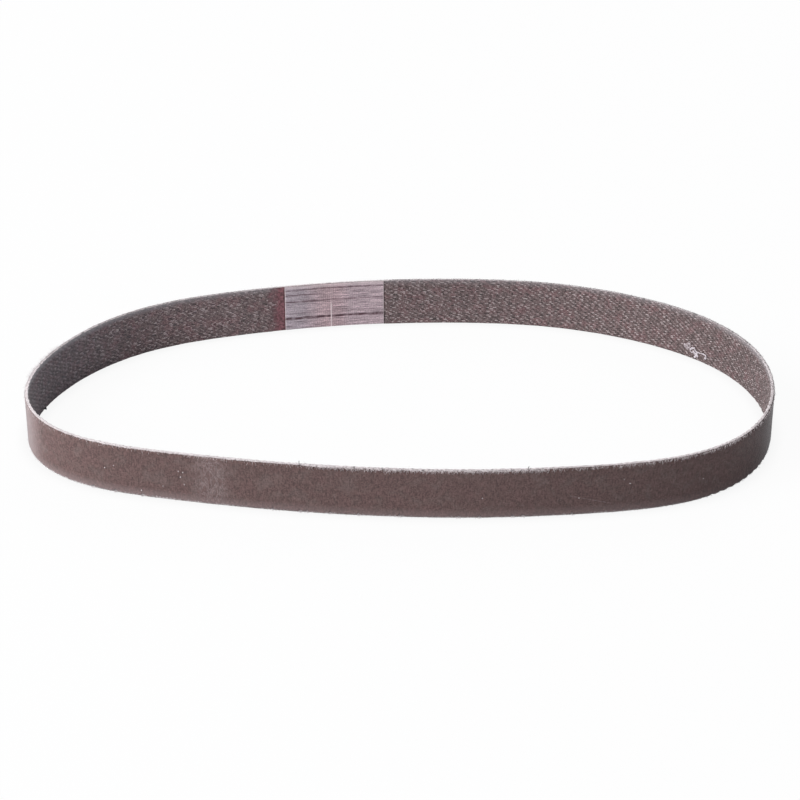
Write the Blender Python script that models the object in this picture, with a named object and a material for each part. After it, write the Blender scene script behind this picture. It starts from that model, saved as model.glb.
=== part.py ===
"""Narrow sanding belt that stands on its edge as a loose oval loop.

One strip of coated cloth runs once round the loop, with abrasive grain on its outer face
and bare twill on its inner face. Its two ends meet in a butt joint, and a reinforced tape
holds them together in a shallow seat that is skived into the cloth.

Lengths are in metres and +Z is up. The lower edge of the belt lies at z = 0 with the
loop's box centred over the origin, and the loop is longest along X.
"""

import math

import bmesh
import bpy
import numpy as np

# Strip
BELT_LENGTH = 0.457
BELT_WIDTH = 0.0127
CLOTH_THICKNESS = 0.00075
COAT_THICKNESS = 0.0002
COAT_EDGE_BREAK = 0.00012

# Loop: the direction in which the strip sets out from its joint, and the waves by which it
# swings off an even circle on its way round. Each wave has a cosine and a sine share.
START_DIRECTION = math.radians(-164.2)
LOOP_WAVES = {
    2: (-0.234, -0.376),
    3: (0.080, 0.001),
    4: (0.025, 0.024),
    5: (-0.049, 0.006),
    6: (0.023, -0.032),
    7: (0.009, -0.003),
    8: (0.002, 0.027),
}

# Twill of the cloth: ridges that climb across the strip
WALE_PITCH = 0.0019
WALE_HEIGHT = 0.00012
WALE_ANGLE = math.radians(31)
WALE_STEPS = 7

# Butt joint and the skived seat, measured along the strip from the joint
JOINT_GAP = 0.0002
SEAT_DEPTH = 0.00025
SKIVE_MARGIN = 0.0031
SEAT_END_CLEARANCE = 0.00015

# Splice tape
TAPE_AHEAD = 0.0122
TAPE_BEHIND = 0.0139
TAPE_THICKNESS = 0.00018
TAPE_SETBACK = 0.00015
GLUE_LINE = 0.00006
FILAMENT_PITCH = 0.00106
FILAMENT_HEIGHT = 0.00005
TAPE_STEP = 0.0019

BELT_THICKNESS = CLOTH_THICKNESS + COAT_THICKNESS
OUTER_FACE = BELT_THICKNESS / 2
INNER_FACE = -BELT_THICKNESS / 2
SEAT_FLOOR = INNER_FACE + SEAT_DEPTH
CUT_OVERRUN = 0.001


class NeutralLine:
    """Closed line along the middle of the strip's thickness, as long as the belt."""

    STATIONS = 3600

    def __init__(self, length):
        self.length = length
        turn = 2 * math.pi * (np.arange(self.STATIONS) + 0.5) / self.STATIONS
        direction = self.closed_direction(turn)
        step = length / self.STATIONS
        self.x = np.concatenate([[0.0], np.cumsum(np.cos(direction)) * step])
        self.y = np.concatenate([[0.0], np.cumsum(np.sin(direction)) * step])
        outer_x, outer_y = self.along(turn / (2 * math.pi) * length, OUTER_FACE)
        self.x -= (outer_x.min() + outer_x.max()) / 2
        self.y -= (outer_y.min() + outer_y.max()) / 2

    @staticmethod
    def closed_direction(turn):
        """Direction of the line round one turn, with the first wave that closes the loop."""
        open_direction = START_DIRECTION + turn
        for wave, (cosine, sine) in LOOP_WAVES.items():
            open_direction += cosine * np.cos(wave * turn) + sine * np.sin(wave * turn)
        first = np.zeros(2)
        shares = np.stack([np.cos(turn), np.sin(turn)])
        for _ in range(10):
            direction = open_direction + first @ shares
            miss = np.array([np.cos(direction).mean(), np.sin(direction).mean()])
            change = np.array(
                [
                    -(shares * np.sin(direction)).mean(axis=1),
                    (shares * np.cos(direction)).mean(axis=1),
                ]
            )
            first -= np.linalg.solve(change, miss)
        return open_direction + first @ shares

    def along(self, station, outward):
        """X and Y at places along the strip, this far outward of its middle."""
        near = self.length / self.STATIONS
        x, y = self.middle(station)
        ahead_x, ahead_y = self.middle(station + near)
        back_x, back_y = self.middle(station - near)
        run = np.hypot(ahead_x - back_x, ahead_y - back_y)
        return (
            x + outward * (ahead_y - back_y) / run,
            y - outward * (ahead_x - back_x) / run,
        )

    def middle(self, station):
        """X and Y of the middle of the strip at places along it."""
        place = np.mod(station, self.length) / self.length * self.STATIONS
        count = np.arange(self.STATIONS + 1)
        return np.interp(place, count, self.x), np.interp(place, count, self.y)

    def row(self, bm, stations, outward, z):
        """New vertices at these places along the strip, all at one height."""
        x, y = self.along(np.asarray(stations), np.asarray(outward))
        return [bm.verts.new(point) for point in zip(x, y, [z] * len(stations))]


def face_between(bm, lower, upper):
    """Quads between two closed rows of as many vertices."""
    for i in range(len(lower)):
        after = (i + 1) % len(lower)
        bm.faces.new((lower[i], lower[after], upper[after], upper[i]))


def rim_between(bm, inner, outer, length):
    """Triangles between two closed rows that differ in number, as (station, vertex) pairs."""
    inner = sorted(((s % length, v) for s, v in inner), key=lambda pair: pair[0])
    outer = sorted(((s % length, v) for s, v in outer), key=lambda pair: pair[0])

    def after(row, i):
        turns, place = divmod(i + 1, len(row))
        return row[place][0] + turns * length

    i = j = 0
    while i < len(inner) or j < len(outer):
        one = inner[i % len(inner)][1]
        other = outer[j % len(outer)][1]
        if j == len(outer) or (i < len(inner) and after(inner, i) < after(outer, j)):
            i += 1
            bm.faces.new((one, other, inner[i % len(inner)][1]))
        else:
            j += 1
            bm.faces.new((one, other, outer[j % len(outer)][1]))


def swept(line, section, stations):
    """Closed solid of one section, as (outward, z) points, along part of the strip."""
    bm = bmesh.new()
    rings = []
    for station in stations:
        x, y = line.along(np.full(len(section), station), np.array([p[0] for p in section]))
        rings.append([bm.verts.new(point) for point in zip(x, y, [p[1] for p in section])])
    for ring, following in zip(rings, rings[1:]):
        face_between(bm, ring, following)
    bm.faces.new(rings[0])
    bm.faces.new(rings[-1])
    return bm


def rectangle(outward_from, outward_to, z_from, z_to):
    """Corners of an upright rectangle across the strip, as (outward, z) points."""
    return [
        (outward_from, z_from),
        (outward_to, z_from),
        (outward_to, z_to),
        (outward_from, z_to),
    ]


def stations_between(start, end, step):
    """Even places along the strip from start to end, about a step apart."""
    return np.linspace(start, end, max(2, round((end - start) / step) + 1))


def finished(bm, name, sharp_angle):
    """Turns a closed mesh into an object of the scene, smooth but for its edges."""
    bmesh.ops.recalc_face_normals(bm, faces=bm.faces)
    mesh = bpy.data.meshes.new(name)
    bm.to_mesh(mesh)
    bm.free()
    mesh.shade_smooth()
    mesh.set_sharp_from_angle(angle=sharp_angle)
    piece = bpy.data.objects.new(name, mesh)
    bpy.context.scene.collection.objects.link(piece)
    return piece


def cut_from(piece, name, bm):
    """Takes a wire-drawn cutter away from a piece."""
    cutter = finished(bm, name, math.radians(30))
    cutter.hide_render = True
    cutter.display_type = "WIRE"
    cut = piece.modifiers.new(name, "BOOLEAN")
    cut.operation = "DIFFERENCE"
    cut.solver = "EXACT"
    cut.object = cutter


def coloured(piece, name, colour, roughness):
    """Gives a piece a non-metallic material of its own."""
    material = bpy.data.materials.new(name)
    material.use_nodes = True
    surface = material.node_tree.nodes["Principled BSDF"]
    surface.inputs["Base Color"].default_value = (*colour, 1)
    surface.inputs["Roughness"].default_value = roughness
    surface.inputs["Metallic"].default_value = 0
    piece.data.materials.append(material)


def coated_strip(line):
    """Whole ring of coated cloth: twill ridges inside, smooth coat outside."""
    bm = bmesh.new()
    wales = round(BELT_LENGTH / WALE_PITCH)

    # Every second column is a crest, and each column climbs along its wale.
    column = np.arange(2 * wales) * BELT_LENGTH / (2 * wales)
    outward = np.where(np.arange(2 * wales) % 2, INNER_FACE + WALE_HEIGHT, INNER_FACE)
    cloth = []
    for z in np.linspace(0, BELT_WIDTH, WALE_STEPS + 1):
        stations = column + z / math.tan(WALE_ANGLE)
        cloth.append((stations, line.row(bm, stations, outward, z)))
    for (_, lower), (_, upper) in zip(cloth, cloth[1:]):
        face_between(bm, lower, upper)

    # The coat is one smooth face whose two edges are broken.
    stations = np.arange(wales) * BELT_LENGTH / wales
    coat = [
        line.row(bm, stations, OUTER_FACE - inset, z)
        for inset, z in (
            (COAT_EDGE_BREAK, 0),
            (0, COAT_EDGE_BREAK),
            (0, BELT_WIDTH - COAT_EDGE_BREAK),
            (COAT_EDGE_BREAK, BELT_WIDTH),
        )
    ]
    for lower, upper in zip(coat, coat[1:]):
        face_between(bm, lower, upper)

    for (inner_stations, inner), outer in ((cloth[0], coat[0]), (cloth[-1], coat[-1])):
        rim_between(bm, zip(inner_stations, inner), zip(stations, outer), BELT_LENGTH)
    return finished(bm, "abrasive_strip", math.radians(20))


def seat_cutter(line):
    """Skived seat: a curved slab that shaves the ridges off the inner face."""
    section = rectangle(
        INNER_FACE - CUT_OVERRUN, SEAT_FLOOR, -CUT_OVERRUN, BELT_WIDTH + CUT_OVERRUN
    )
    start = -TAPE_BEHIND - SEAT_END_CLEARANCE
    end = TAPE_AHEAD + SKIVE_MARGIN
    return swept(line, section, stations_between(start, end, TAPE_STEP))


def joint_cutter(line):
    """Butt joint: a thin straight cut across the strip and through it."""
    section = rectangle(
        INNER_FACE - CUT_OVERRUN,
        OUTER_FACE + CUT_OVERRUN,
        -CUT_OVERRUN,
        BELT_WIDTH + CUT_OVERRUN,
    )
    return swept(line, section, [-JOINT_GAP / 2, JOINT_GAP / 2])


def tape(line):
    """Splice tape: flat on its glued side, with filament ridges on its open side."""
    back = SEAT_FLOOR - GLUE_LINE
    crest = back - TAPE_THICKNESS
    low = TAPE_SETBACK
    high = BELT_WIDTH - TAPE_SETBACK
    filaments = round((high - low) / FILAMENT_PITCH)
    section = [(back, high), (back, low)]
    for i in range(2 * filaments + 1):
        outward = crest if i % 2 else crest + FILAMENT_HEIGHT
        section.append((outward, low + (high - low) * i / (2 * filaments)))
    stations = stations_between(-TAPE_BEHIND, TAPE_AHEAD, TAPE_STEP)
    return finished(swept(line, section, stations), "splice_tape", math.radians(6))


def main():
    for old in list(bpy.data.objects):
        bpy.data.objects.remove(old)
    line = NeutralLine(BELT_LENGTH)
    strip = coated_strip(line)
    cut_from(strip, "skived_seat", seat_cutter(line))
    cut_from(strip, "butt_joint", joint_cutter(line))
    coloured(strip, "brown coated cloth", (0.125, 0.082, 0.068), 0.85)
    coloured(tape(line), "pale filament tape", (0.33, 0.25, 0.25), 0.5)


main()
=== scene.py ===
"""Dresses the sanding belt: twill backing, grain coat, frayed edges and the joint's tape.

The belt stands on its edge as a loose loop. Every piece follows the same line along the
middle of the belt's thickness, and is laid out by its station, the distance along the
belt from the butt joint. Outward is towards the grain, and +Z is across the belt.
"""

import math
from functools import partial

import bmesh
import bpy
import numpy as np
from bpy.props import FloatProperty, FloatVectorProperty, IntProperty, PointerProperty
from mathutils import Color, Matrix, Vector


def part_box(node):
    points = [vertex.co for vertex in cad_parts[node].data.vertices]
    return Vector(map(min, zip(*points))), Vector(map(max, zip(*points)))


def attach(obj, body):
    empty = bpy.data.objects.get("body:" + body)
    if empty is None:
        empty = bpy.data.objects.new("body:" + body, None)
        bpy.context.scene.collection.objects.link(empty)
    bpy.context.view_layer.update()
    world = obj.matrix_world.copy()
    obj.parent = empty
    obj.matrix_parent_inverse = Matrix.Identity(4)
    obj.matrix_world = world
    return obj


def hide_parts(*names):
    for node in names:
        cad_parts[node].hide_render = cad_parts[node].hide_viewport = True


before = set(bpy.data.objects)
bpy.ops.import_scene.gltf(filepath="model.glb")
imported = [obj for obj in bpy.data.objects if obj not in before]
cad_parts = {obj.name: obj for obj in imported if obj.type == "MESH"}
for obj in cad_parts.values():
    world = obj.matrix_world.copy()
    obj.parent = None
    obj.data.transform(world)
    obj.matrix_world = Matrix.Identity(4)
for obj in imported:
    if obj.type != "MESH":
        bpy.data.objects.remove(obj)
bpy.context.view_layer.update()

bl_info = {
    "name": "Sanding Belt",
    "version": (1, 0, 0),
    "blender": (4, 5, 0),
    "location": "View3D > Sidebar > Sanding Belt",
    "description": "Makes a narrow cloth sanding belt with its joint tape",
    "category": "Add Mesh",
}

MM = 0.001
BELT_LENGTH = 0.457
START_DIRECTION = math.radians(-164.2)
LOOP_WAVES = {
    2: (-0.234, -0.376),
    3: (0.080, 0.001),
    4: (0.025, 0.024),
    5: (-0.049, 0.006),
    6: (0.023, -0.032),
    7: (0.009, -0.003),
    8: (0.002, 0.027),
}
SEAT_DEPTH = 0.25 * MM
SKIVE_MARGIN = 3.1 * MM
GLUE_LINE = 0.06 * MM
BOND_LINE = 0.01 * MM
TEXTURE_ROWS = 6

# A Mix node's inputs for the share and the two colours, and its output for the mixed colour.
MIX_SOCKETS = (0, 6, 7)
MIXED_COLOUR = 2

# Each yarn slips along by its own amount, in picks: (turn from yarn to yarn, reach).
YARN_SLIPS = ((2.4, 0.3), (5.3, 0.24))

# What changes round the belt, as (station in millimetres, value) pairs: how pale the cut edges
# are, worn and with a painted highlight near the left bend; the coat's painted light, a highlight
# at the left bend and shade towards the right end; the painted highlight where the loop bends at
# the left; how far the coat is rubbed along its lower edge; how dusty the cloth is, its grey near
# the left end also painting the cool cast of shade; the cloth's painted shade round the loop; how
# much lint hangs on it below its upper edge, and how far its picks are pulled out of line.
EDGE_WEAR_AND_HIGHLIGHT = (
    (0, 0.9), (11, 0.9), (15, 0.34), (60, 0.3), (85, 0.5), (97, 0.9), (112, 1.0), (165, 0.85),
    (186, 0.75), (204, 0.62), (235, 0.66), (262, 0.66), (300, 0.68), (328, 0.62), (345, 0.4),
    (441, 0.34), (445, 0.9), (457, 0.9),
)  # fmt: skip
COAT_PAINTED_LIGHT = (
    (0, 0.9), (98, 0.85), (104, 0.8), (108, 1.15), (112, 1.12), (117, 1.0), (125, 0.97), (180, 0.92),
    (232, 0.91), (248, 0.82), (285, 0.78), (300, 0.62), (318, 0.5), (332, 0.5), (345, 0.75), (457, 0.9),
)  # fmt: skip
BEND_HIGHLIGHT = ((90, 0.0), (98, 0.25), (105, 0.56), (110, 0.64), (113, 0.4), (118, 0.0))
COAT_RIM = ((0, 0.2), (98, 0.25), (108, 0.75), (160, 0.7), (186, 0.5), (262, 0.45), (290, 0.3), (457, 0.2))
CLOTH_DUST_AND_SHADE_TINT = ((0, 0.06), (42, 0.08), (56, 0.14), (75, 0.3), (105, 0.34), (140, 0.1), (330, 0.0), (457, 0.05))
CLOTH_PAINTED_SHADE = (
    (0, 0.86), (24, 0.94), (44, 1.04), (66, 1.02), (80, 0.9), (120, 0.8), (300, 0.62), (337, 0.59),
    (352, 0.64), (370, 0.72), (395, 0.78), (420, 0.8), (457, 0.83),
)  # fmt: skip
RIM_LINT = (
    (0, 0.2), (30, 0.35), (58, 0.6), (105, 0.7), (140, 0.2), (310, 0.2), (335, 0.4), (362, 0.2),
    (457, 0.2),
)  # fmt: skip
SLACK = ((0, 0.7), (24, 0.9), (110, 0.9), (330, 0.5), (350, 0.25), (395, 0.25), (415, 0.6), (457, 0.7))

# Chips in the coat's lower edge, by station, and pale specks on it, by station and height.
CHIPS = (133.5, 139.2, 145.9, 177.3, 183.6, 185.2, 190.7, 197.1, 206.7, 220.2, 225.0, 232.7, 235.0, 246.4)
SPECKS = (
    (136.9, 6.1), (139.2, 7.2), (145.9, 1.5), (155.1, 7.9), (156.1, 7.8), (155.5, 6.4), (156.3, 4.7),
    (151.1, 3.5), (225.5, 5.4), (247.9, 4.6), (258.2, 8.7), (259.7, 7.4), (277.9, 5.6),
)  # fmt: skip

# Shares of the upper edge's fibres that hang over the coat: (share, from, to, soft margin).
HANGING = (
    (0.1, 0.105, 0.3, 0.02), (0.75, 0.19, 0.236, 0.008), (0.4, 0.238, 0.286, 0.006),
    (0.2, 0.288, 0.312, 0.006),
)  # fmt: skip

# Threads of dried glue, by distance behind the joint and height, in millimetres.
GLUE_THREADS = (
    [(97.4, 2.2), (98.1, 3.0), (98.9, 3.2), (99.2, 2.6), (99.8, 2.4),
     (100.6, 2.4), (101.7, 2.6), (102.6, 2.5), (102.8, 1.9), (102.3, 1.4)],
    [(97.5, 2.0), (98.2, 1.7), (98.6, 2.3), (99.1, 1.6), (99.8, 2.2),
     (99.5, 1.2), (100.2, 1.2), (99.8, 1.7), (99.3, 0.9), (98.9, 0.5)],
    [(96.0, 3.6), (95.9, 3.1), (96.3, 2.6), (97.0, 2.6), (97.5, 3.1),
     (97.4, 3.7), (96.8, 3.9), (96.3, 3.6), (96.5, 3.1), (96.9, 3.3)],
)  # fmt: skip

# The camera, fitted together with the loop. Its focal length is in pixels of the picture.
PICTURE_PIXELS = 800
FOCAL_PIXELS = 2485.5
CAMERA_PLACE = (-0.000102, -0.534983, 0.302709)
CAMERA_TILT = math.radians(90 - 29.204)


def linear(code):
    """Linear red, green and blue of an sRGB hex colour."""
    parts = [int(code[i : i + 2], 16) / 255 for i in (1, 3, 5)]
    return [c / 12.92 if c <= 0.04045 else ((c + 0.055) / 1.055) ** 2.4 for c in parts]


def colour_property(name, description, code):
    return FloatVectorProperty(
        name=name, description=description, default=linear(code), size=3, min=0, max=1, subtype="COLOR"
    )


def length_property(name, description, metres):
    return FloatProperty(name=name, description=description, default=metres, min=0, unit="LENGTH")


class BeltSizes(bpy.types.PropertyGroup):
    width: length_property("Width", "Across the belt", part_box("abrasive_strip")[1].z)
    cloth: length_property("Cloth", "Thickness of the woven backing", 0.75 * MM)
    coat: length_property("Coat", "Thickness of the bonded grain", 0.2 * MM)
    gap: length_property("Joint gap", "Between the two ends at the butt joint", 0.06 * MM)
    half_yarns: IntProperty(name="Half yarns", description="Half warp yarns across the belt", default=67)
    repeats: IntProperty(name="Repeats", description="Twill repeats round the belt", default=241)
    relief: length_property("Relief", "From a yarn's crown down to the valley", 0.15 * MM)
    tape_ahead: length_property("Tape ahead", "From the joint to the tape's end", 12.2 * MM)
    tape_behind: length_property("Tape behind", "From the joint to its other end", 13.9 * MM)
    tape: length_property("Tape", "Thickness of the joint tape", 0.18 * MM)
    fibres: IntProperty(name="Fibres", description="Loose fibres along the cut edges", default=9400)


class BeltColours(bpy.types.PropertyGroup):
    # The crown colour is rubbed cotton carrying a painted highlight.
    rubbed_and_highlit_crown: colour_property("Yarn", "Crown of a warp yarn, rubbed pale", "#dacaca")
    valley: colour_property("Valley", "Sized cloth between the yarns", "#6d5857")
    size_red: colour_property("Red size", "Cloth where the size is thick", "#875d60")
    # The dust colour near the left end also paints the cool cast of shade.
    dust_and_shade_tint: colour_property("Dust", "Grey dust that lies on the cloth", "#858790")
    rim_lint: colour_property("Lint", "Pale lint on the cloth below its upper edge", "#b8b6ba")
    skive: colour_property("Skive", "Shaved band beside the tape", "#7e545a")
    fibre: colour_property("Fibre", "Cut cotton fibre at the edges", "#e4dbdc")
    dyed_fibre: colour_property("Dyed fibre", "Cut fibre that took the dye", "#857a7c")
    grain: colour_property("Grain", "Bonded grain of the coat", "#674f4d")
    thin_grain: colour_property("Thin grain", "Grain where the resin is thin", "#65504d")
    # The scuff colour also paints the highlight band at the left bend.
    scuff_and_highlight: colour_property("Scuff", "Grain that has been rubbed", "#a09090")
    tape: colour_property("Tape", "Film of the joint tape", "#b3a8b1")
    tape_line: colour_property("Tape line", "Cloth showing through between filaments", "#553a42")
    tape_pink: colour_property("Tape at the joint", "Film over the butt joint", "#ba9da1")
    seam: colour_property("Seam", "Film that stands up over the joint", "#ead9db")
    glue: colour_property("Dried glue", "Smear of glue on the cloth", "#d8d0d6")
    thin_glue: colour_property("Thin glue", "Glue through which the cloth shows", "#96888a")
    hair: colour_property("Stray hair", "Single dark fibres", "#37383a")
    floor: colour_property("Floor", "Paper that the belt stands on", "#dcdcde")


def closed_direction(turn):
    """Direction of the middle line round one turn, with the first wave that closes it."""
    open_direction = START_DIRECTION + turn
    for wave, (cosine, sine) in LOOP_WAVES.items():
        open_direction = open_direction + cosine * np.cos(wave * turn) + sine * np.sin(wave * turn)
    first = np.zeros(2)
    shares = np.stack([np.cos(turn), np.sin(turn)])
    for _ in range(10):
        direction = open_direction + first @ shares
        miss = np.array([np.cos(direction).mean(), np.sin(direction).mean()])
        change = np.array(
            [-(shares * np.sin(direction)).mean(axis=1), (shares * np.cos(direction)).mean(axis=1)]
        )
        first -= np.linalg.solve(change, miss)
    return open_direction + first @ shares


class Belt:
    """The belt's sizes, and the line that its pieces follow."""

    STATIONS = 3600

    def __init__(self, sizes):
        self.length, self.width = BELT_LENGTH, sizes.width
        thickness = sizes.cloth + sizes.coat
        self.inner, self.outer = -thickness / 2, thickness / 2
        self.bond = self.inner + sizes.cloth
        self.seat = self.inner + SEAT_DEPTH
        turn = 2 * math.pi * (np.arange(self.STATIONS) + 0.5) / self.STATIONS
        direction = closed_direction(turn)
        step = self.length / self.STATIONS
        self.x = np.concatenate([[0.0], np.cumsum(np.cos(direction)) * step])
        self.y = np.concatenate([[0.0], np.cumsum(np.sin(direction)) * step])
        x, y = self.along(turn / (2 * math.pi) * self.length, self.outer)
        self.x -= (x.min() + x.max()) / 2
        self.y -= (y.min() + y.max()) / 2

    def middle(self, station):
        place = np.mod(station, self.length) / self.length * self.STATIONS
        count = np.arange(self.STATIONS + 1)
        return np.interp(place, count, self.x), np.interp(place, count, self.y)

    def along(self, station, outward):
        """X and Y at stations of the belt, this far outward of its middle."""
        near = self.length / self.STATIONS
        x, y = self.middle(station)
        ahead, back = self.middle(station + near), self.middle(station - near)
        across, up = ahead[0] - back[0], ahead[1] - back[1]
        run = np.hypot(across, up)
        return x + outward * up / run, y - outward * across / run

    def points(self, station, outward, z):
        station, outward, z = np.broadcast_arrays(station, outward, z)
        x, y = self.along(station, outward)
        return np.stack([x, y, z], axis=-1)


def smooth_step(value, start, end):
    share = np.clip((value - start) / (end - start), 0, 1)
    return share * share * (3 - 2 * share)


def hump(value, start, end, soft):
    """1 between start and end, falling smoothly to 0 over a soft margin on both sides."""
    return smooth_step(value, start - soft, start) * (1 - smooth_step(value, end, end + soft))


def wander(rng, count, reach):
    """A smooth random series round the belt, from -1 to 1, with knots `reach` places apart."""
    knots = max(4, int(count / reach))
    values = rng.uniform(-1, 1, knots)
    place = np.arange(count) / count * knots
    first = place.astype(int) % knots
    share = smooth_step(place % 1, 0, 1)
    return values[first] * (1 - share) + values[(first + 1) % knots] * share


def patches(rng, shape, reach):
    """Smooth random patches over a grid, from -1 to 1."""
    rows, columns = (max(2, int(n / r)) + 1 for n, r in zip(shape, reach))
    values = rng.uniform(-1, 1, (rows, columns))
    i = np.linspace(0, rows - 1.001, shape[0])
    j = np.linspace(0, columns - 1.001, shape[1])
    a, b = i.astype(int), j.astype(int)
    u = smooth_step(i - a, 0, 1)[:, None]
    v = smooth_step(j - b, 0, 1)[None, :]
    low = values[a][:, b] * (1 - v) + values[a][:, b + 1] * v
    high = values[a + 1][:, b] * (1 - v) + values[a + 1][:, b + 1] * v
    return low * (1 - u) + high * u


def lower_edge(station):
    """Height of the slit lower edge over the floor, scalloped where the blade chattered."""
    scallop = 1 - np.abs(np.sin(math.pi * station / (2.6 * MM)))
    return 0.3 * MM * scallop * hump(station, 0.282, 0.33, 0.006)


def mark_strip(mesh, belt, station, outward, z):
    """Keeps where each point lies on the belt: along it, across it and into it, in mm."""
    strip = mesh.attributes.new("strip", "FLOAT_VECTOR", "POINT")
    where = np.stack(np.broadcast_arrays(station, z, outward - belt.inner), -1)
    strip.data.foreach_set("vector", where.reshape(-1) / MM)


def closed_shell(belt, name, station, outward, z, widths, slots=None, weave=None):
    """One closed shell: columns along the belt, each a ring of points across it.

    widths gives where each point of a ring lies across the texture, slots the material of
    the face after it, and weave its place in the weave, counted in picks and yarns.
    """
    station, outward, z = np.broadcast_arrays(station, outward, z)
    columns, ring = station.shape
    points = belt.points(station, outward, z).reshape(-1, 3)
    column, place = np.meshgrid(np.arange(columns - 1), np.arange(ring), indexing="ij")
    first, after = column * ring + place, column * ring + (place + 1) % ring
    quads = np.stack([first, after, after + ring, first + ring], axis=-1).reshape(-1, 4)
    faces = quads.tolist()
    faces.append(list(range(ring))[::-1])
    faces.append(list(range((columns - 1) * ring, columns * ring)))
    mesh = bpy.data.meshes.new(name)
    mesh.from_pydata(points.tolist(), [], faces)

    # Texture rows: the belt is cut into even lengths, laid one above the other.
    per_row = math.ceil((columns - 1) / TEXTURE_ROWS)
    row = column // per_row
    widths = np.asarray(widths) / widths[-1]
    low, high = widths[place], widths[place + 1]
    left = (column - row * per_row) / per_row
    right = left + 1 / per_row
    corners = [(left, low), (left, high), (right, high), (right, low)]
    flat = [np.stack([0.01 + 0.98 * u, (row + 0.03 + 0.94 * v) / TEXTURE_ROWS], -1) for u, v in corners]
    uv = np.concatenate([np.stack(flat, 2).reshape(-1, 2), np.full((2 * ring, 2), 0.005)])
    mesh.uv_layers.new(name="OFBake").data.foreach_set("uv", uv.ravel())
    mark_strip(mesh, belt, station, outward, z)
    if weave is not None:
        mesh.attributes.new("weave", "FLOAT_VECTOR", "POINT").data.foreach_set("vector", weave.ravel())
    if slots is not None:
        mesh.polygons.foreach_set("material_index", np.append(np.asarray(slots)[place].ravel(), [1, 1]))
    return finished(mesh)


def finished(mesh):
    """Puts a closed mesh in the scene, smooth and with its faces turned outwards."""
    bm = bmesh.new()
    bm.from_mesh(mesh)
    if bm.calc_volume(signed=True) < 0:
        bmesh.ops.reverse_faces(bm, faces=bm.faces)
    bm.to_mesh(mesh)
    bm.free()
    mesh.shade_smooth()
    piece = bpy.data.objects.new(mesh.name, mesh)
    bpy.context.scene.collection.objects.link(piece)
    return piece


def tubes(belt, name, paths, radii, sides, flat=1.0, tones=None):
    """One mesh of closed tubes, each along a path of (station, outward, z) points.

    tones gives each tube's own tone, from 0 for dyed to 1 for pale.
    """
    paths, radii = np.asarray(paths), np.asarray(radii)
    count, length = paths.shape[:2]
    ahead = np.gradient(paths, axis=1)
    ahead /= np.linalg.norm(ahead, axis=2, keepdims=True)
    across = np.cross(ahead, [0.31, 0.94, 0.12])
    across /= np.linalg.norm(across, axis=2, keepdims=True)
    over = np.cross(ahead, across)
    angle = 2 * math.pi * np.arange(sides) / sides
    ring = across[:, :, None] * np.cos(angle)[:, None] + over[:, :, None] * np.sin(angle)[:, None]
    ring[..., 1] *= flat
    spots = paths[:, :, None] + ring * radii[:, :, None, None]
    station, outward, z = (spots[..., i].ravel() for i in range(3))
    z = np.maximum(z, 0)
    points = belt.points(station, outward, z)
    tube, step, side = np.meshgrid(np.arange(count), np.arange(length - 1), np.arange(sides), indexing="ij")
    first = (tube * length + step) * sides + side
    after = (tube * length + step) * sides + (side + 1) % sides
    quads = np.stack([first, after, after + sides, first + sides], -1).reshape(-1, 4)
    starts = np.arange(count)[:, None] * length * sides + np.arange(sides)
    ends = starts + (length - 1) * sides
    faces = quads.tolist() + starts[:, ::-1].tolist() + ends.tolist()
    mesh = bpy.data.meshes.new(name)
    mesh.from_pydata(points.tolist(), [], faces)
    mark_strip(mesh, belt, station, outward, z)
    if tones is not None:
        tone = mesh.attributes.new("tone", "FLOAT", "POINT")
        tone.data.foreach_set("value", np.repeat(tones, length * sides))
    return finished(mesh)


def add_node(material, kind, sockets=(), output=0, **settings):
    """Adds a node with its settings and what goes into its sockets, and returns its output.

    Sockets are a list in their order, or a dict by name or number. A kind in capitals is the
    operation of a Math node. A Mix node mixes colours: its sockets are the share and the two
    colours. Output None returns all outputs.
    """
    if kind.isupper():
        kind, settings["operation"] = "Math", kind
    new = material.node_tree.nodes.new("ShaderNode" + kind)
    if not isinstance(sockets, dict):
        sockets = dict(enumerate(sockets))
    if kind == "Mix":
        new.data_type = "RGBA"
        sockets = dict(zip(MIX_SOCKETS, sockets.values()))
        output = MIXED_COLOUR
    for name, value in settings.items():
        setattr(new, name, value)
    for socket, value in sockets.items():
        if isinstance(value, bpy.types.NodeSocket):
            material.node_tree.links.new(value, new.inputs[socket])
        else:
            new.inputs[socket].default_value = (*value, 1) if isinstance(value, Color) else value
    return new.outputs if output is None else new.outputs[output]


def set_stops(ramp, stops):
    """Gives the colour ramp with this output its stops, as (place, grey value) pairs."""
    elements = ramp.node.color_ramp.elements
    while len(elements) < len(stops):
        elements.new(0.5)
    for element, (place, value) in zip(elements, stops):
        element.position = place
        element.color = (value, value, value, 1)
    return ramp


def new_material(name, roughness, sheen=0.0):
    """A non-metallic material, its surface, and what adds nodes to it."""
    material = bpy.data.materials.new(name)
    material.use_nodes = True
    surface = material.node_tree.nodes["Principled BSDF"]
    surface.inputs["Roughness"].default_value = roughness
    surface.inputs["Metallic"].default_value = 0.0
    surface.inputs["Sheen Weight"].default_value = sheen
    return material, surface, partial(add_node, material)


def finish_surface(material, surface, colour, height, distance, strength):
    """Links a material's colour and its relief, whose height is in metres."""
    bump = add_node(material, "Bump", {"Height": height, "Distance": distance, "Strength": strength})
    material.node_tree.links.new(colour, surface.inputs["Base Color"])
    material.node_tree.links.new(bump, surface.inputs["Normal"])
    return material


def strip_place(add):
    """Where a point lies on the belt, in millimetres: along it, across it and into it."""
    place = add("Attribute", attribute_name="strip", output="Vector")
    return place, *add("SeparateXYZ", [place], output=None)


def round_belt(add, along, stops):
    """A value that changes slowly round the belt, from (station in mm, value) pairs."""
    share = add("DIVIDE", [along, BELT_LENGTH / MM])
    stops = [(station * MM / BELT_LENGTH, float(value)) for station, value in stops]
    return set_stops(add("ValToRGB", [share]), stops)


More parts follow.
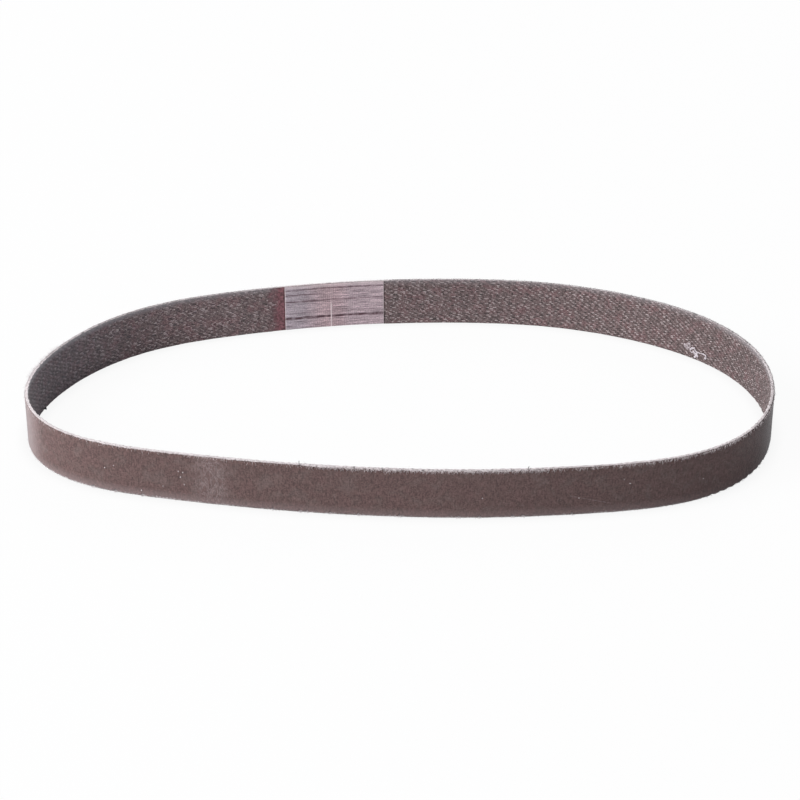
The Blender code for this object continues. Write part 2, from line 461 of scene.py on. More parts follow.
def sized_cotton_drill(sizes, colours):
    """Cotton drill, woven, dyed and sized: rubbed yarn crowns with a painted highlight in slanting rows of
    dots, and painted shade in the pits between them.
    """
    material, surface, add = new_material("sized cotton drill", 0.85, sheen=0.1)
    place, along, across, _ = strip_place(add)

    # Every warp yarn floats over two picks of three, one pick further on than its neighbour.
    weave = add("Attribute", attribute_name="weave", output="Vector")
    weave = add("SeparateXYZ", [weave], output=None)
    number = add("FLOOR", [weave["Y"]])
    within = add("FRACT", [weave["Y"]])
    picks = add("SUBTRACT", [weave["X"], number])
    for turn, reach in YARN_SLIPS:
        slip = add("MULTIPLY", [number, turn])
        slip = add("SINE", [slip])
        picks = add("MULTIPLY_ADD", [slip, reach, picks])

    # Handling pulled the picks out of line, in some parts of the loop more than in others.
    pulled = add("TexNoise", {"Vector": place, "Scale": 0.8, "Detail": 3.0})
    slack = add("MapRange", [pulled, 0.3, 0.7, -1.3, 1.3])
    picks = add("MULTIPLY_ADD", [slack, round_belt(add, along, SLACK), picks])
    repeat = add("DIVIDE", [picks, 3.0])
    count = add("FLOOR", [repeat])
    phase = add("FRACT", [repeat])

    # Each float has its own place and was rubbed by its own amount; its pale crown also carries a painted
    # highlight.
    key = add("CombineXYZ", [count, number])
    own = add("TexWhiteNoise", {"Vector": key}, noise_dimensions="2D", output=None)
    others = add("SeparateColor", [own["Color"]], output=None)
    bright = add("POWER", [own["Value"], 1.6])
    bright = add("MapRange", {0: bright, 3: 0.14, 4: 1.15})
    moved = add("MULTIPLY_ADD", [others[0], 0.24, phase])
    over = set_stops(
        add("ValToRGB", [moved]), [(0.0, 0.0), (0.2, 0.0), (0.36, 1.0), (0.5, 1.0), (0.66, 0.0)]
    )
    crown = set_stops(add("ValToRGB", [within]), [(0.0, 0.0), (0.3, 1.0), (0.7, 1.0), (1.0, 0.0)])
    fine = add("TexNoise", {"Vector": place, "Scale": 3.6, "Detail": 2.0, "Roughness": 0.6})
    lint = add("MapRange", [fine, 0.34, 0.66, 0.2, 1.8])
    spell = add("MapRange", [pulled, 0.36, 0.64, 0.5, 1.25])
    crown_rub_and_highlight = over
    for factor in (crown, bright, lint, spell):
        crown_rub_and_highlight = add("MULTIPLY", [crown_rub_and_highlight, factor])
    crown_rub_and_highlight = add("MULTIPLY_ADD", [lint, 0.06, crown_rub_and_highlight])

    # Between two floats the yarn dives under a pick; the pit there is darkened as painted shade, some pits
    # more deeply.
    pit_shade = set_stops(
        add("ValToRGB", [phase]),
        [(0.0, 0.3), (0.1, 0.0), (0.58, 0.0), (0.76, 1.0), (0.88, 1.0), (1.0, 0.3)],
    )
    pit_shade = add("MULTIPLY", [pit_shade, others[1]])
    pit_shade = add("MapRange", {0: pit_shade, 3: 1.0, 4: 0.15})
    speckle = add("MapRange", [fine, 0.34, 0.66, 0.45, 1.55])
    pit_shade = add("MULTIPLY", [pit_shade, speckle])

    # The size lies thick and red in some places, and dusty grey in others; near the left end the grey
    # also paints the cool cast of shade on the inner face.
    cloud = add("TexNoise", {"Vector": place, "Scale": 0.33, "Detail": 4.0})
    red = add("MapRange", [cloud, 0.47, 0.64, 0.0, 0.6])
    ground = add("Mix", [red, colours.valley, colours.size_red])
    ground = add("Mix", [1.0, ground, pit_shade], blend_type="MULTIPLY")
    cloth = add("Mix", [crown_rub_and_highlight, ground, colours.rubbed_and_highlit_crown])
    dust_and_shade_tint = round_belt(add, along, CLOTH_DUST_AND_SHADE_TINT)
    dust_and_shade_tint = add("MULTIPLY", [dust_and_shade_tint, lint])
    cloth = add("Mix", [dust_and_shade_tint, cloth, colours.dust_and_shade_tint])
    # Painted shade: the cloth is darkened round the loop, most towards the right end, and lightened a little
    # near the left.
    painted_shade = round_belt(add, along, CLOTH_PAINTED_SHADE)
    cloth = add("Mix", [1.0, cloth, painted_shade], blend_type="MULTIPLY")

    # Pale lint hangs on the last 1.5 mm below the upper edge.
    near_rim = add("MapRange", [across, 11.1, 12.5])
    near_rim = add("MULTIPLY", [near_rim, round_belt(add, along, RIM_LINT)])
    cloth = add("Mix", [near_rim, cloth, colours.rim_lint])

    # The shaved band: red-brown size, with the weave fading in at its far side.
    ahead = sizes.tape_ahead / MM
    ragged = add("MULTIPLY_ADD", [cloud, 7.0, along])
    band = add("MapRange", [ragged, ahead + 5.0, ahead + 7.6, 1.0, 0.0])
    near = add("LESS_THAN", [along, 100.0])
    band = add("MULTIPLY", [band, near])
    mottle = add("TexNoise", {"Vector": place, "Scale": 1.9, "Detail": 4.0})
    mottle = add("MapRange", [mottle, 0.34, 0.66, 0.45, 1.55])
    skive = add("Mix", [1.0, colours.skive, mottle], blend_type="MULTIPLY")
    cloth = add("Mix", [band, cloth, skive])

    # Painted shadow: a thin dark line along both ends of the tape, where the seat's edge shades the cloth.
    behind = (BELT_LENGTH - sizes.tape_behind) / MM
    first = add("MapRange", [along, ahead + 0.2, ahead + 0.45, 0.6, 1.0])
    last = add("MapRange", [along, behind - 0.4, behind - 0.15, 1.0, 0.75])
    painted_shadow_lines = add("MINIMUM", [first, last])
    cloth = add("Mix", [1.0, cloth, painted_shadow_lines], blend_type="MULTIPLY")
    return finish_surface(material, surface, cloth, crown_rub_and_highlight, 0.06 * MM, 0.7)


def cut_cotton_edge(colours):
    """Cotton drill slit with a blade: pale yarn ends with a few dyed pits between them."""
    material, surface, add = new_material("cut cotton edge", 0.9, sheen=0.2)
    place, along, _, depth = strip_place(add)
    # How pale the edge is round the belt: worn pale, and palest near the left bend, where a painted
    # highlight is laid on.
    wear_and_highlight = round_belt(add, along, EDGE_WEAR_AND_HIGHLIGHT)
    ends = add("TexNoise", {"Vector": place, "Scale": 2.2, "Detail": 4.0})
    pale = add("MapRange", [ends, 0.34, 0.66, -0.35, 0.35])
    pale = add("ADD", [pale, wear_and_highlight])

    # Resin soaked into the cloth from the coat's side and greyed it.
    soaked = add("MapRange", [depth, 0.35, 0.75, 0.0, 0.22])
    pale = add("SUBTRACT", [pale, soaked], use_clamp=True)
    edge = add("Mix", [pale, colours.dyed_fibre, colours.fibre])
    deep = add("TexNoise", {"Vector": place, "Scale": 1.1, "Detail": 2.0})
    deep = add("MULTIPLY_ADD", [wear_and_highlight, 0.16, deep])
    deep = add("MapRange", [deep, 0.44, 0.5, 0.4, 1.0])
    edge = add("Mix", [1.0, edge, deep], blend_type="MULTIPLY")
    return finish_surface(material, surface, edge, ends, 0.1 * MM, 0.6)


def spun_cotton_fibre(colours):
    """Loose cotton fibre: matt and pale, here and there dyed with the cloth."""
    material, surface, add = new_material("spun cotton fibre", 0.8)
    _, along, _, _ = strip_place(add)
    tone = add("Attribute", attribute_name="tone", output="Fac")
    tone = add("MapRange", {0: tone, 3: -0.3, 4: 0.4}, clamp=False)
    # The fibres take the edge's paleness round the belt, with its painted highlight near the left bend.
    wear_and_highlight = round_belt(add, along, EDGE_WEAR_AND_HIGHLIGHT)
    pale = add("ADD", [tone, wear_and_highlight], use_clamp=True)
    colour = add("Mix", [pale, colours.dyed_fibre, colours.fibre])
    material.node_tree.links.new(colour, surface.inputs["Base Color"])
    return material


def stray_hair(colours):
    """Single dark fibres caught on the cut edge."""
    material, surface, _ = new_material("dark loose fibre", 0.6)
    surface.inputs["Base Color"].default_value = (*colours.hair, 1)
    return material


def dried_hide_glue(colours):
    """Glue that dried on the cloth: cloudy, whitish where it is thick, and half shiny."""
    material, surface, add = new_material("dried glue", 0.4)
    place = strip_place(add)[0]
    tone = add("Attribute", attribute_name="tone", output="Fac")
    cloud = add("TexNoise", {"Vector": place, "Scale": 2.4, "Detail": 3.0})
    cloud = add("MapRange", [cloud, 0.32, 0.68, -0.5, 0.5])
    thick = add("ADD", [cloud, tone], use_clamp=True)
    colour = add("Mix", [thick, colours.thin_glue, colours.glue])
    return finish_surface(material, surface, colour, thick, 0.05 * MM, 0.5)


def resin_bonded_grain(colours):
    """Brown fused alumina set upright in resin: dull, with fine upright streaks."""
    material, surface, add = new_material("resin bonded grain", 0.75, sheen=0.5)
    place, along, across, _ = strip_place(add)

    # Grit is 0.15 mm; it is drawn 0.3 mm wide, because finer grains don't show.
    upright = add("Mapping", {"Vector": place, "Scale": (2.8, 0.7, 1.0)})
    streaks = add("TexNoise", {"Vector": upright, "Scale": 1.0, "Detail": 3.0})
    rows = add("MapRange", [streaks, 0.3, 0.7, 0.76, 1.24])
    grains = add("TexVoronoi", {"Vector": place, "Scale": 3.2}, feature="F1", output="Color")
    parts = add("SeparateColor", [grains], output=None)
    tone = add("MapRange", {0: parts[0], 3: 0.72, 4: 1.28})
    both = add("MULTIPLY", [rows, tone])

    # The resin is thinner in places. Painted light: the coat is lightened as a highlight at the left
    # bend and darkened as painted shade towards the right end of the loop.
    cloud = add("TexNoise", {"Vector": place, "Scale": 0.3, "Detail": 5.0, "Distortion": 0.6})
    thin = add("MapRange", [cloud, 0.4, 0.62])
    coat = add("Mix", [thin, colours.grain, colours.thin_grain])
    # The grain's tone, lightened and darkened round the loop by painted light and shade.
    worn = add("MULTIPLY", [both, round_belt(add, along, COAT_PAINTED_LIGHT)])
    coat = add("Mix", [1.0, coat, worn], blend_type="MULTIPLY")

    # Faint rubbed clouds everywhere, and curled scuffs a third of the way round.
    faint = add("MapRange", [cloud, 0.52, 0.72, 0.0, 0.1])
    upright = add("Mapping", {"Vector": place, "Scale": (0.7, 0.36, 1.0)})
    curls = add("TexNoise", {"Vector": upright, "Scale": 1.0, "Detail": 2.0, "Distortion": 1.2})
    curls = set_stops(
        add("ValToRGB", [curls]),
        [(0.0, 0.15), (0.41, 0.15), (0.445, 1.0), (0.48, 0.2), (0.53, 0.2), (0.565, 1.0), (0.6, 0.15)],
    )
    from_scuff = add("SUBTRACT", [along, 162.8])
    from_scuff = add("ABSOLUTE", [from_scuff])
    scuff_and_highlight_share = add("MapRange", [from_scuff, 0.5, 6.0, 0.65, 0.0], interpolation_type="SMOOTHSTEP")
    scuff_and_highlight_share = add("MULTIPLY_ADD", [scuff_and_highlight_share, curls, faint])

    # The grain is rubbed pale above the lower edge, most of all towards the left end; where the loop
    # bends there, a painted highlight lays a pale band over the grain.
    ragged = add("MULTIPLY_ADD", [streaks, 1.6, across])
    rim = round_belt(add, along, COAT_RIM)
    above = add("MapRange", [ragged, 1.0, 3.4, 0.65, 0.0])
    above = add("MULTIPLY", [above, rim])
    for other in (above, round_belt(add, along, BEND_HIGHLIGHT)):
        scuff_and_highlight_share = add("MAXIMUM", [scuff_and_highlight_share, other])
    scuff_and_highlight_share = add("MULTIPLY", [scuff_and_highlight_share, rows])

    # One long scratch runs down at a slant, a little more than halfway round.
    beyond = add("ADD", [along, -245.7])
    line = add("MULTIPLY_ADD", [beyond, 0.27, across])
    line = add("COMPARE", [line, 5.2, 0.14])
    within = add("COMPARE", [beyond, 4.8, 4.8])
    scratch = line
    for factor in (within, parts[1]):
        scratch = add("MULTIPLY", [scratch, factor])
    scuff_and_highlight_share = add("MULTIPLY_ADD", [scratch, 0.3, scuff_and_highlight_share])
    # The scuffs, the rubbed edge and the painted highlight at the left bend all take the scuff colour.
    coat = add("Mix", [scuff_and_highlight_share, coat, colours.scuff_and_highlight])

    # On the lower edge itself the grain is gone in places and the cotton shows.
    bare = add("MapRange", [ragged, 0.95, 1.3, 1.0, 0.0])
    spells = add("MapRange", [cloud, 0.42, 0.56, 0.3, 1.0])
    for factor in (spells, rim):
        bare = add("MULTIPLY", [bare, factor])
    coat = add("Mix", [bare, coat, colours.fibre])
    surface.inputs["Sheen Roughness"].default_value = 0.3
    return finish_surface(material, surface, coat, both, 0.06 * MM, 0.5)


def filament_film(sizes, colours):
    """Film over spun filaments, ironed on: satin, streaked along, dark between bundles."""
    material, surface, add = new_material("filament film", 0.45)
    place, along, across, _ = strip_place(add)
    lengthwise = add("Mapping", {"Vector": place, "Scale": (0.2, 3.4, 1.0)})
    streaks = add("TexNoise", {"Vector": lengthwise, "Scale": 1.0, "Detail": 4.0, "Roughness": 0.66})
    streaks = add("MapRange", [streaks, 0.32, 0.68, 0.4, 1.6])
    fluff = add("TexNoise", {"Vector": place, "Scale": 2.8, "Detail": 2.0, "Roughness": 0.6})
    fluff = add("MapRange", [fluff, 0.34, 0.66, 0.74, 1.26])
    streaks = add("MULTIPLY", [streaks, fluff])

    # Cross threads 0.55 mm apart and a pink tint, strongest over the joint.
    from_joint = add("ABSOLUTE", [along])
    over_joint = add("MapRange", [from_joint, 1.0, 9.0, 1.0, 0.2], interpolation_type="SMOOTHSTEP")
    threads = add("MULTIPLY", [along, 2 * math.pi / 0.55])
    threads = add("SINE", [threads])
    for factor in (over_joint, fluff):
        threads = add("MULTIPLY", [threads, factor])
    streaks = add("MULTIPLY_ADD", [threads, 0.1, streaks])
    behind = add("MapRange", [along, -3.0, 5.0, 0.5, 0.0])
    tint = add("MULTIPLY", [over_joint, 0.8])
    tint = add("MAXIMUM", [tint, behind])
    film = add("Mix", [tint, colours.tape, colours.tape_pink])
    film = add("Mix", [1.0, film, streaks], blend_type="MULTIPLY")

    # Dark lines where bundles of filaments part, at their heights across the tape.
    wobble = add("TexNoise", {"Vector": lengthwise, "Scale": 0.6, "Detail": 1.0})
    height = add("MULTIPLY_ADD", [wobble, 0.5, across])
    height = add("MapRange", [height, 0.25, 12.95])
    dark = set_stops(
        add("ValToRGB", [height]),
        [(0.0, 0.0), (0.222, 0.0), (0.236, 1.0), (0.276, 1.0), (0.292, 0.0), (0.352, 0.0), (0.37, 0.5),
         (0.388, 0.0), (0.61, 0.0), (0.632, 0.8), (0.664, 0.0), (0.876, 0.0), (0.898, 0.9), (0.926, 0.0)],
    )  # fmt: skip
    gaps = add("Mapping", {"Vector": place, "Scale": (0.55, 0.9, 1.0)})
    gaps = add("TexNoise", {"Vector": gaps, "Scale": 1.0, "Detail": 2.0})
    broken = add("MapRange", [gaps, 0.38, 0.56, 0.45, 1.0])
    dark = add("MULTIPLY", [dark, broken])
    film = add("Mix", [dark, film, colours.tape_line])
    ahead = add("MapRange", [along, 0.5, 5.0])
    dashes = set_stops(
        add("ValToRGB", [height]),
        [(0.0, 0.0), (0.605, 0.0), (0.635, 0.9), (0.665, 0.0), (0.76, 0.0), (0.785, 1.0), (0.81, 0.0)],
    )
    for factor in (ahead, broken):
        dashes = add("MULTIPLY", [dashes, factor])
    film = add("Mix", [dashes, film, colours.tape_line])

    # The film stands up pale along the joint, at the two ends and at the top edge.
    seam = add("MapRange", [from_joint, 0.08, 0.2, 0.95, 0.0])
    lower = add("MapRange", [across, 6.6, 7.6, 1.0, 0.12])
    seam = add("MULTIPLY", [seam, lower])
    middle = (sizes.tape_ahead - sizes.tape_behind) / 2 / MM
    half = (sizes.tape_ahead + sizes.tape_behind) / 2 / MM
    ends = add("SUBTRACT", [along, middle])
    ends = add("ABSOLUTE", [ends])
    ends = add("MapRange", [ends, half - 0.3, half - 0.1, 0.0, 0.45])
    border = add("MapRange", [across, 11.7, 12.0, 0.0, 0.4])
    pale = seam
    for other in (ends, border):
        pale = add("MAXIMUM", [pale, other])
    film = add("Mix", [pale, film, colours.seam])
    return finish_surface(material, surface, film, streaks, 0.03 * MM, 0.5)


def open_stations(belt, sizes, step):
    """Stations once round the strip, fine but for where the tape hides it."""
    end = sizes.tape_ahead + 0.5 * MM
    start = belt.length - sizes.tape_behind + 0.6 * MM
    gap = sizes.gap / 2
    open_run = np.linspace(end, start, round((start - end) / step) + 1)
    ahead, behind = np.linspace(gap, end, 10)[:-1], np.linspace(start, belt.length - gap, 10)[1:]
    return np.concatenate([ahead, open_run, behind])


def begin(context, seed):
    """What a piece starts from: sizes, colours, the belt and a random series of its own."""
    sizes = context.scene.belt_sizes
    return sizes, context.scene.belt_colours, Belt(sizes), np.random.default_rng(seed)


def declared(piece, materials, slot, *nodes):
    """Gives a piece its materials, ties it to its body and hides the parts that it stands for. The slot is
    not used.
    """
    for material in materials:
        piece.data.materials.append(material)
    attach(piece, "root")
    if nodes:
        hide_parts(*nodes)


class BELT_OT_twill_cloth(bpy.types.Operator):
    """Woven backing of the belt, with its yarns, its shaved seat and its cut edges"""

    bl_idname = "belt.twill_cloth"
    bl_label = "Twill Cloth"

    def execute(self, context):
        sizes, colours, belt, rng = begin(context, 11)
        pick = belt.length / (3 * sizes.repeats)
        station = open_stations(belt, sizes, 0.6 * pick)[:, None]
        rows = sizes.half_yarns + 1
        count, half = len(station), np.arange(rows)
        picks = station / pick + 0.4 * patches(rng, (count, rows), (12, 8))
        slip = sum(reach * np.sin(turn * (half // 2)) for turn, reach in YARN_SLIPS)
        phase = np.mod(picks - half // 2 + slip, 3)
        over = smooth_step(phase, 0, 0.7) * (1 - smooth_step(phase, 1.5, 2.2))
        height = np.where(half % 2, 1.0, 0.25) * (0.15 + 0.85 * over)
        height = height + 0.14 * rng.uniform(-1, 1, (count, rows))
        behind = belt.length - sizes.tape_behind
        ahead = sizes.tape_ahead + SKIVE_MARGIN
        shaved = 1 - smooth_step(station, ahead - 0.4 * MM, ahead + 0.6 * MM)
        shaved = shaved + smooth_step(station, behind - 0.2 * MM, behind - 0.1 * MM)
        face = belt.inner + sizes.relief * (1 - np.clip(height, 0, 1))
        face = face * (1 - shaved) + (belt.seat + 0.015 * MM * height) * shaved

        # The edges were slit, so they wander and fray a little.
        top = belt.width - 0.05 * MM + 0.05 * MM * wander(rng, count, 7)[:, None]
        low = 0.03 * MM + 0.03 * MM * wander(rng, count, 6)[:, None] + lower_edge(station)
        rim = np.array([0.25, 0.5, 0.75])
        bond = np.full((count, 1), belt.bond)
        rim_out = face[:, -1:] + (bond - face[:, -1:]) * rim
        low_out = face[:, :1] + (bond - face[:, :1]) * rim[::-1]
        rim_z = top + 0.08 * MM * rng.uniform(-1, 0.6, (count, 3))
        low_z = np.maximum(0, low + 0.06 * MM * rng.uniform(-1, 1, (count, 3)))
        outward = np.concatenate([face, rim_out, bond, bond, low_out], 1)
        z = np.concatenate([low + (top - low) * half / (rows - 1), rim_z, top, low, low_z], 1)
        across = belt.width / MM
        rims = across + np.array([0.2, 0.4, 0.6, 0.8, 1.4, 1.6, 1.8, 2.0, 2.2])
        widths = np.concatenate([np.linspace(0, across, rows), rims])
        slots = np.concatenate([np.zeros(rows - 1, int), np.ones(9, int)])
        weave = np.zeros((*z.shape, 3))
        weave[:, :rows, 0] = picks
        weave[:, :rows, 1] = half / 2
        cloth = closed_shell(belt, "twill_cloth", station, outward, z, widths, slots, weave)
        materials = [sized_cotton_drill(sizes, colours), cut_cotton_edge(colours)]
        declared(cloth, materials, "coated_cloth", "abrasive_strip")
        return {"FINISHED"}


class BELT_OT_grain_coat(bpy.types.Operator):
    """Bonded grain on the outside of the belt, chipped along its cut edges"""

    bl_idname = "belt.grain_coat"
    bl_label = "Grain Coat"

    def execute(self, context):
        sizes, colours, belt, rng = begin(context, 23)
        gap = sizes.gap / 2
        count, rows = 2300, 30
        station = np.linspace(gap, belt.length - gap, count)[:, None]

        # The slit edges have lost grain: more of it where the belt was worked hardest.
        place = station[:, 0]
        worn = 0.12 + 0.1 * hump(place, 0.115, 0.17, 0.012) + 0.4 * hump(place, 0.19, 0.234, 0.008)
        worn += 0.1 * wander(rng, count, 90)
        chip = worn * (0.5 + 0.3 * rng.uniform(-1, 1, count) + 0.5 * np.maximum(0, wander(rng, count, 4)))
        nick = np.maximum(0, wander(rng, count, 6) - 0.7) * 1.1
        low_chip = 0.05 * rng.uniform(0, 1, count) + nick * (0.5 + 0.5 * wander(rng, count, 120))
        low_chip = low_chip + 0.1 * np.maximum(0, wander(rng, count, 5))
        for chipped in CHIPS:
            low_chip = np.maximum(low_chip, 0.6 - np.abs(place / MM - chipped) * 0.9)
        top = belt.width - MM * np.clip(0.06 + chip, 0.03, 0.7)[:, None]
        low = MM * np.clip(0.05 + low_chip, 0.02, 0.7)[:, None] + lower_edge(station)
        z = low + (top - low) * np.linspace(0, 1, rows)
        grain = 0.04 * MM * rng.uniform(-1, 0, (count, rows))
        face = belt.outer - 0.015 * MM + grain + 0.02 * MM * patches(rng, (count, rows), (14, 12))
        face[:, [0, -1]] -= 0.08 * MM
        bond = np.full((count, 1), belt.bond + BOND_LINE)
        outward = np.concatenate([face, bond, bond], 1)
        z = np.concatenate([z, top, low], 1)
        across = belt.width / MM
        widths = np.concatenate([np.linspace(0, across, rows), across + np.array([0.2, 0.5, 0.7])])
        coat = closed_shell(belt, "grain_coat", station, outward, z, widths)
        declared(coat, [resin_bonded_grain(colours)], "coated_cloth", "abrasive_strip")
        return {"FINISHED"}


class BELT_OT_edge_fibres(bpy.types.Operator):
    """Cotton fibres at both cut edges, pale specks, two stray hairs and a dark tuft"""

    bl_idname = "belt.edge_fibres"
    bl_label = "Edge Fibres"

    def execute(self, context):
        sizes, colours, belt, rng = begin(context, 41)
        step = np.linspace(0, 1, 4)[None, :, None]
        paths, tones = [], []

        def grow(root, lean, curl, length, tone):
            """Adds fibres that leave their roots by lean and bend by curl."""
            lean = lean / np.linalg.norm(lean, axis=1, keepdims=True)
            reach = lean[:, None] * step + curl[:, None] * step**2
            paths.append(root[:, None] + length[:, None, None] * reach)
            tones.append(tone)

        for share, level, up in ((0.62, belt.width - 0.08 * MM, 1), (0.34, 0.06 * MM, -1)):
            count = int(share * sizes.fibres)
            place = rng.uniform(0.2 * MM, belt.length - 0.2 * MM, count)
            outward = rng.uniform(belt.inner + 0.15 * MM, belt.outer, count)
            root = np.stack([place, outward, np.full(count, level)], 1)
            lean = rng.normal(0, 1, (count, 3)) * [0.8, 0.7, 0.4] + [0, 0.25, 0.75 * up]
            curl = rng.normal(0, 1, (count, 3)) * 0.4 + [0, 0.25, -0.35 * up]
            length = MM * rng.gamma(5.0, 0.05, count) * (0.65 + 0.35 * hump(place, 0.1, 0.3, 0.02))

            # Where the rim is rubbed, most of its fibres hang down over the coat.
            hanging = sum(part * hump(place, *span) for part, *span in HANGING)
            hung = (rng.uniform(0, 1, count) < hanging) & (up > 0)
            root[hung, 1] = belt.outer + 0.02 * MM
            root[hung, 2] = belt.width - MM * rng.uniform(0.0, 0.3, hung.sum())
            lean[hung] = rng.normal(0, 1, (hung.sum(), 3)) * [0.5, 0.1, 0.3] + [0, 0.25, -0.9]
            curl[hung] = rng.normal(0, 1, (hung.sum(), 3)) * [0.3, 0.05, 0.2]
            length[hung] = MM * rng.uniform(0.2, 0.85, hung.sum())
            grow(root, lean, curl, length, rng.uniform(0, 1, count) + 0.5 * hung)

        # Tufts stand out of the chips in the lower edge.
        tuft = 26
        count = tuft * len(CHIPS)
        place = np.repeat(CHIPS, tuft) * MM + rng.normal(0, 0.26, count) * MM
        outward = np.full(count, belt.outer - 0.05 * MM)
        root = np.stack([place, outward, MM * rng.uniform(0.1, 0.4, count)], 1)
        lean = rng.normal(0, 1, (count, 3)) * [0.5, 0.2, 0.4] + [0, 0.5, -0.5]
        grow(root, lean, lean * 0, MM * rng.uniform(0.2, 0.5, count), np.full(count, 2.0))

        # Longer fibres have come loose where the loop turns back at its left end.
        count = 90
        place = rng.uniform(0.076, 0.096, count)
        outward = rng.uniform(belt.bond, belt.outer, count)
        root = np.stack([place, outward, np.full(count, belt.width)], 1)
        lean = rng.normal(0, 1, (count, 3)) * [1.0, 0.3, 0.2] + [0, 0.35, 0.25]
        curl = rng.normal(0, 1, (count, 3)) * [0.2, 0.2, 0.2]
        grow(root, lean, curl, MM * rng.uniform(0.4, 1.1, count), np.full(count, 2.0))
        radii = np.full((sum(len(path) for path in paths), 4), 0.03 * MM) * [1, 0.9, 0.7, 0.35]

        # Pale specks cling to the coat: the few that show in front, and more behind.
        strays = np.stack([rng.uniform(0, BELT_LENGTH / MM, 16), rng.uniform(1, 12, 16)], 1)
        strays = strays[(strays[:, 0] < 110) | (strays[:, 0] > 320)]
        specks = np.concatenate([np.array(SPECKS), strays]) * MM
        count = len(specks)
        root = np.stack([specks[:, 0], np.full(count, belt.outer), specks[:, 1]], 1)
        lean = rng.normal(0, 1, (count, 3)) * [1, 0.05, 1]
        grow(root, lean, lean * 0, MM * rng.uniform(0.12, 0.3, count), np.full(count, 2.0))
        radii = np.concatenate([radii, MM * rng.uniform(0.11, 0.17, (count, 1)) * [0.8, 1, 1, 0.7]])

        # A cotton fibre is 0.02 mm across; it is drawn 0.06 mm, because a finer one doesn't show.
        fibres = tubes(belt, "edge_fibres", np.concatenate(paths), radii, 3, tones=np.concatenate(tones))
        declared(fibres, [spun_cotton_fibre(colours)], "coated_cloth")

        # Two dark hairs stand on the upper edge, each at its station and leaning its own way.
        hairs = []
        run = np.linspace(0, 1, 6)
        for place, lean, length in ((183.6, 0.0, 1.1), (235.9, 0.3, 0.9)):
            rise = belt.width - 0.1 * MM + length * MM * run
            side = place * MM + lean * length * MM * run**2
            hairs.append(np.stack([side, np.full(6, belt.bond), rise], 1))
        radii = np.full((3, 6), 0.07 * MM)

        # A dark tuft sticks out of the lower edge inside, near the left end.
        inward = belt.inner - 0.5 * MM * run
        hairs.append(np.stack([(88.4 + 0.5 * run) * MM, inward, 0.3 * MM - 0.1 * MM * run], 1))
        radii[2] = MM * np.array([0.28, 0.28, 0.25, 0.2, 0.14, 0.05])
        hair = tubes(belt, "stray_hairs", hairs, radii, 5)
        declared(hair, [stray_hair(colours)], "coated_cloth")
        return {"FINISHED"}


class BELT_OT_filament_tape(bpy.types.Operator):
    """Reinforced tape over the butt joint, set into the shaved seat"""

    bl_idname = "belt.filament_tape"
    bl_label = "Filament Tape"

    def execute(self, context):
        sizes, colours, belt, rng = begin(context, 37)
        count, rows = 180, 120
        station = np.linspace(-sizes.tape_behind, sizes.tape_ahead, count)[:, None]
        low, high = 0.15 * MM, belt.width - 0.15 * MM
        z = np.linspace(low, high, rows)[None, :]
        back = belt.seat - GLUE_LINE
        ridge = np.abs(np.sin(math.pi * z / (1.06 * MM)))
        lift = 0.045 * MM * (ridge - 1) + 0.014 * MM * patches(rng, (count, rows), (20, 2))
        for level, deep in ((3.2, 0.07), (7.0, 0.04), (11.2, 0.05)):
            lift = lift - deep * MM * np.exp(-(((z - level * MM) / (0.22 * MM)) ** 2))
        lift = lift + 0.05 * MM * np.exp(-((station / (0.25 * MM)) ** 2))
        face = back - sizes.tape - lift
        ends = np.full((count, 1), back)
        outward = np.concatenate([face, ends, ends], 1)
        z = np.concatenate([np.broadcast_to(z, face.shape), ends * 0 + high, ends * 0 + low], 1)
        across = belt.width / MM
        widths = np.concatenate([np.linspace(0, across, rows), across + np.array([0.2, 0.6, 0.8])])
        tape = closed_shell(belt, "filament_tape", station, outward, z, widths)
        declared(tape, [filament_film(sizes, colours)], "filament_tape", "splice_tape")
        return {"FINISHED"}


class BELT_OT_dried_glue(bpy.types.Operator):
    """Glue that dried on the cloth: two curled threads and a thin cloudy ring"""

    bl_idname = "belt.dried_glue"
    bl_label = "Dried Glue"

    def execute(self, context):
        _, colours, belt, rng = begin(context, 5)
        paths, count = [], 46
        for thread in GLUE_THREADS:
            thread = np.array(thread)
            fine = np.linspace(0, len(thread) - 1, count)
            soft = np.stack([np.interp(fine, np.arange(len(thread)), thread[:, i]) for i in (0, 1)], 1)
            soft[1:-1] = (soft[:-2] + 2 * soft[1:-1] + soft[2:]) / 4
            outward = np.full(count, belt.inner - 0.03 * MM)
            paths.append(np.stack([-soft[:, 0] * MM, outward, soft[:, 1] * MM], 1))
        radii = MM * np.stack([0.24 + 0.1 * wander(rng, count, 6) for _ in GLUE_THREADS])
        radii[:2, -5:-1] *= 1.4
        radii[2] *= 1.6
        radii[:, [0, -1]] *= 0.5
        glue = tubes(belt, "dried_glue", paths, radii, 8, 0.4, tones=[0.6, 0.75, 0.1])
        declared(glue, [dried_hide_glue(colours)], "coated_cloth")
        return {"FINISHED"}


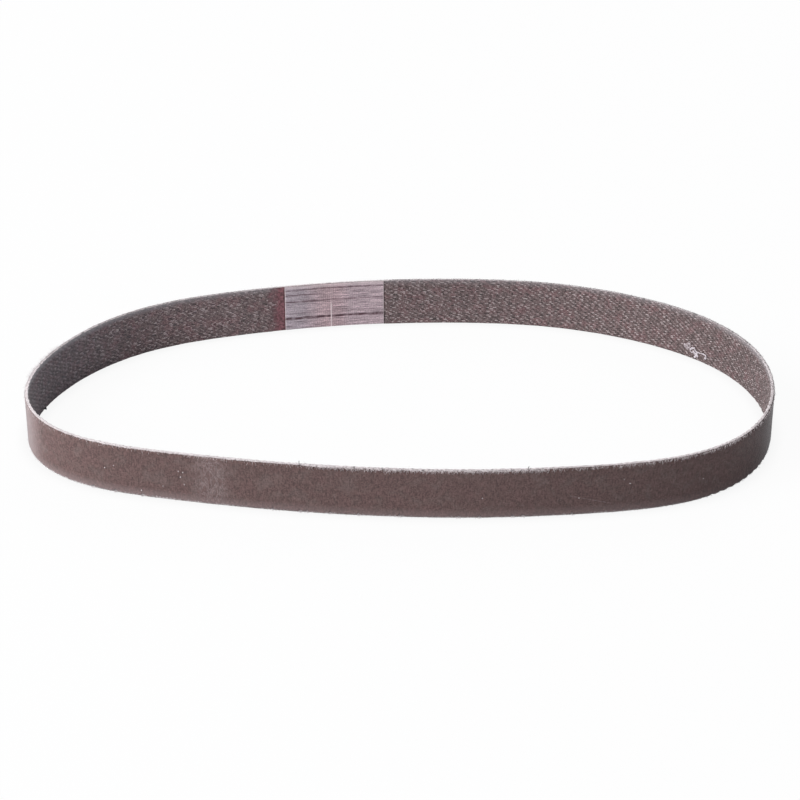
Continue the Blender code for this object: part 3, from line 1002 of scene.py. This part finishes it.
class BELT_OT_stage(bpy.types.Operator):
    """Pale floor, soft light and the camera"""

    bl_idname = "belt.stage"
    bl_label = "Stage"

    def execute(self, context):
        scene = context.scene
        bpy.ops.mesh.primitive_plane_add(size=6, location=(0, 0, 0))
        floor = context.object
        floor.name = "paper_floor"
        material, surface, add = new_material("white paper", 0.9)
        surface.inputs["Base Color"].default_value = (*scene.belt_colours.floor, 1)

        # To the camera the paper is all but white, with a faint shade close to the belt.
        sight = add("LightPath")
        share = add("MULTIPLY", [sight, 0.95])
        near = add("AmbientOcclusion", {"Distance": 0.004}, samples=8, output="AO")
        contact = add("MapRange", [near, 0.5, 0.95, 0.94, 1.0])
        white = add("Emission", {"Color": (1, 1, 1, 1), "Strength": contact})
        mixed = add("MixShader", [share, surface.outputs[0], white])
        result = material.node_tree.nodes["Material Output"].inputs["Surface"]
        material.node_tree.links.new(mixed, result)
        floor.data.materials.append(material)

        world = bpy.data.worlds.new("soft room")
        world.use_nodes = True
        sky = world.node_tree.nodes["Background"]
        sky.inputs["Color"].default_value = (0.93, 0.96, 1.0, 1)
        sky.inputs["Strength"].default_value = 0.36
        scene.world = world
        for name, place, size, power in (
            ("left window", (-1.2, -0.48, 0.96), 1.0, 31.0),
            ("back lamp", (0.5, 1.3, 0.9), 1.0, 9.0),
        ):
            light = bpy.data.lights.new(name, "AREA")
            light.size = size
            light.energy = power
            lamp = bpy.data.objects.new(name, light)
            lamp.location = place
            lamp.rotation_euler = (-Vector(place)).to_track_quat("-Z", "Y").to_euler()
            scene.collection.objects.link(lamp)

        camera = bpy.data.cameras.new("camera")
        camera.sensor_width = 36
        camera.lens = FOCAL_PIXELS / PICTURE_PIXELS * camera.sensor_width
        camera.clip_start = 0.01
        eye = bpy.data.objects.new("camera", camera)
        eye.location = CAMERA_PLACE
        eye.rotation_euler = (CAMERA_TILT, 0, 0)
        scene.collection.objects.link(eye)
        scene.camera = eye
        scene.view_settings.view_transform = "Standard"
        return {"FINISHED"}


class BELT_PT_sidebar(bpy.types.Panel):
    bl_label = "Sanding Belt"
    bl_idname = "BELT_PT_sidebar"
    bl_space_type = "VIEW_3D"
    bl_region_type = "UI"
    bl_category = "Sanding Belt"

    def draw(self, context):
        for operator in OPERATORS:
            self.layout.operator(operator.bl_idname)
        for group in (context.scene.belt_sizes, context.scene.belt_colours):
            for name in group.__annotations__:
                self.layout.prop(group, name)


OPERATORS = (
    BELT_OT_twill_cloth,
    BELT_OT_grain_coat,
    BELT_OT_edge_fibres,
    BELT_OT_filament_tape,
    BELT_OT_dried_glue,
    BELT_OT_stage,
)
CLASSES = (BeltSizes, BeltColours, *OPERATORS, BELT_PT_sidebar)


def register():
    for cls in CLASSES:
        bpy.utils.register_class(cls)
    bpy.types.Scene.belt_sizes = PointerProperty(type=BeltSizes)
    bpy.types.Scene.belt_colours = PointerProperty(type=BeltColours)


def unregister():
    del bpy.types.Scene.belt_colours
    del bpy.types.Scene.belt_sizes
    for cls in reversed(CLASSES):
        bpy.utils.unregister_class(cls)


def main():
    register()
    bpy.ops.belt.twill_cloth()
    bpy.ops.belt.grain_coat()
    bpy.ops.belt.edge_fibres()
    bpy.ops.belt.filament_tape()
    bpy.ops.belt.dried_glue()
    bpy.ops.belt.stage()


if __name__ == "__main__":
    main()
